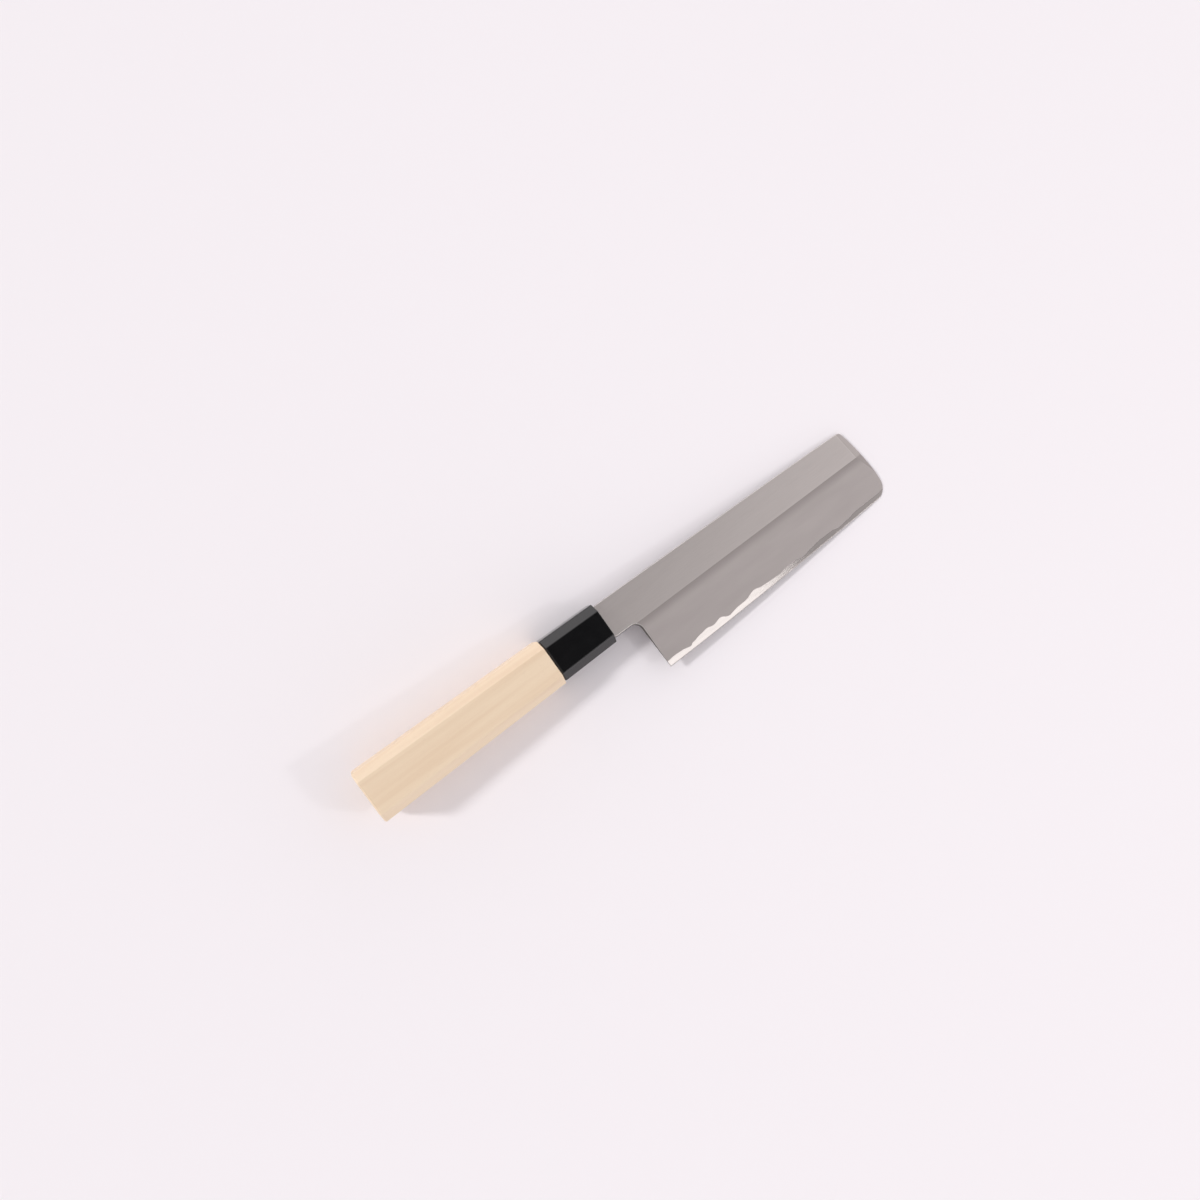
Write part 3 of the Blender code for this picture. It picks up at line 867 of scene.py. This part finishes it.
# %% Steel finish
def steel_finish(piece):
    finish = Finish("polished_edge_steel", Metallic=1.0)
    marks = finish.noise((9 * mm, 0.1 * mm, 0.1 * mm), detail=3.0, roughness=0.7)
    cloud = finish.noise((12 * mm, 3 * mm, 3 * mm), detail=2.0)
    color = finish.mix(tone(0.44, 0.405, 0.39), tone(0.50, 0.465, 0.45), cloud)
    color = finish.mix(color, tone(0.34, 0.31, 0.295), marks.ramp(0.4, 0.8) * 0.3)
    stoned = 1 - finish.stored("from_edge").ramp(0.35, 0.5)
    roughness = 0.05 + marks * 0.06 + stoned * 0.25
    finish.dress(piece, marks, 0.006 * mm, Base_Color=color, Roughness=roughness)


steel_finish(steel)

# %% [markdown]
# ## Black ferrule
# Polished black horn-like resin: nearly black, glossy, with faint hairline scratches and a
# slightly wavy surface that bends its reflections.

# %% Ferrule finish
def ferrule_finish(piece):
    finish = Finish("glossy_black_ferrule", IOR=1.6)
    haze = finish.noise((6 * mm, 4 * mm, 4 * mm), detail=3.0)
    scratches = finish.noise((8 * mm, 0.15 * mm, 0.15 * mm), detail=3.0, roughness=0.7)
    color = finish.mix(tone(0.003, 0.003, 0.0035), tone(0.007, 0.007, 0.0075), haze)
    roughness = 0.07 + haze * 0.06 + scratches.ramp(0.55, 0.8) * 0.12
    finish.dress(piece, haze, 0.02 * mm, Base_Color=color, Roughness=roughness)


ferrule_finish(ferrule)

# %% [markdown]
# ## Pale wood
# Close-grained pale wood with a straight grain. Three layers of noise do it: broad streaks of
# tone, fine fibres and short dark pores, all stretched along the handle.

# %% Wood finish
def wood_finish(piece):
    finish = Finish("pale_straight_grained_wood", Specular_IOR_Level=1.0)
    streaks = finish.noise((140 * mm, 4.5 * mm, 6 * mm), detail=2.0, distortion=0.3)
    fibres = finish.noise((12 * mm, 0.25 * mm, 0.25 * mm), detail=3.0, roughness=0.7)
    pores = finish.noise((2.5 * mm, 0.12 * mm, 0.12 * mm), detail=1.0)
    color = finish.mix(tone(0.83, 0.66, 0.475), tone(0.785, 0.60, 0.42), streaks.ramp(0.42, 0.68))
    color = finish.mix(color, tone(0.72, 0.54, 0.37), fibres.ramp(0.45, 0.8) * 0.3)
    color = finish.mix(color, tone(0.55, 0.38, 0.25), pores.ramp(0.68, 0.8) * 0.5)
    roughness = 0.42 + fibres * 0.15
    finish.dress(piece, fibres, 0.02 * mm, Base_Color=color, Roughness=roughness)


wood_finish(handle)

# %% [markdown]
# ## Floor
# A pale floor, lit to about its own colour, gives the white ground and keeps the shadows. A
# white world seen only by the camera would do it too, but the knife's shadow would be lost.

# %% Floor
def make_floor():
    half = 6.0
    mesh = bpy.data.meshes.new("floor")
    corners = [(-half, -half, 0), (half, -half, 0), (half, half, 0), (-half, half, 0)]
    mesh.from_pydata(corners, (), [(0, 1, 2, 3)])
    floor = bpy.data.objects.new("floor", mesh)
    bpy.context.scene.collection.objects.link(floor)
    finish = Finish("pale_floor", Roughness=0.9, Specular_IOR_Level=0.0)
    finish.shader.inputs["Base Color"].default_value = tone(0.92, 0.882, 0.908)
    floor.data.materials.append(finish.material)


make_floor()

# %% [markdown]
# ## Lamps
# Two distant lamps on opposite sides throw the double shadow. Their directions are slopes from
# straight up, and the shadows' corners give them. A panel overhead stands just where the
# polished strip mirrors it, from the heel to the middle of the blade.

# %% Lamps
def add_lamp(name, kind, power, **settings):
    """A lamp object with its power and other settings."""
    lamp = bpy.data.objects.new(name, bpy.data.lights.new(name, kind))
    lamp.data.energy = power
    for key, value in settings.items():
        setattr(lamp.data, key, value)
    lamp.rotation_mode = "QUATERNION"
    bpy.context.scene.collection.objects.link(lamp)
    return lamp


def add_sun(name, lean_x, lean_y, power, angle):
    """A soft distant lamp in a direction given by its slopes from straight up."""
    lamp = add_lamp(name, "SUN", power, angle=math.radians(angle))
    lamp.rotation_quaternion = Vector((lean_x, lean_y, 1.0)).to_track_quat("Z", "Y")


add_sun("left_lamp", -1.16, 0.90, 1.45, 8)
add_sun("right_lamp", 0.93, -0.87, 0.27, 5)
panel = add_lamp("panel", "AREA", 0.41, shape="RECTANGLE", size=0.372, size_y=0.22)
panel.location = (0.384, -0.44, 1.0)

# %% [markdown]
# ## World
# A pale room: a ceiling that grows brighter beyond the tip, brighter walls low down, and one
# small dark patch overhead. Black gloss mirrors that patch in its top face, satin steel only
# dims a little near it, and the walls light the slanting sides of the handle.

# %% World
patch_direction = Vector((0.25, -0.13, 1.0)).normalized()
patch_rim = math.cos(math.radians(16))
patch_core = math.cos(math.radians(8))


def make_world():
    world = bpy.data.worlds.new("studio")
    bpy.context.scene.world = world
    world.use_nodes = True
    tree = Tree(world.node_tree)
    direction = tree.add("TexCoord", {}, output=0)
    ahead = tree.add("SeparateXYZ", {0: direction}, output=0)
    sideways = tree.add("SeparateXYZ", {0: direction}, output=1)
    height = tree.add("SeparateXYZ", {0: direction}, output=2)
    near_patch = tree.add("VectorMath", {0: direction, 1: patch_direction}, output=1,
                          operation="DOT_PRODUCT")
    walls = 1 - height.ramp(0.05, 0.60)
    patch = near_patch.ramp(patch_rim, patch_core)
    ceiling = 0.49 + ahead.ramp(0.3, 0.75) * 0.44
    wall_light = 1.03 + ahead * 0.35 - sideways * 0.18
    strength = (ceiling + walls * wall_light) * (1 - patch * 0.9)
    background = world.node_tree.nodes["Background"]
    background.inputs["Color"].default_value = tone(1.0, 0.97, 0.985)
    world.node_tree.links.new(strength.socket, background.inputs["Strength"])


make_world()
bpy.context.scene.view_settings.view_transform = "Standard"
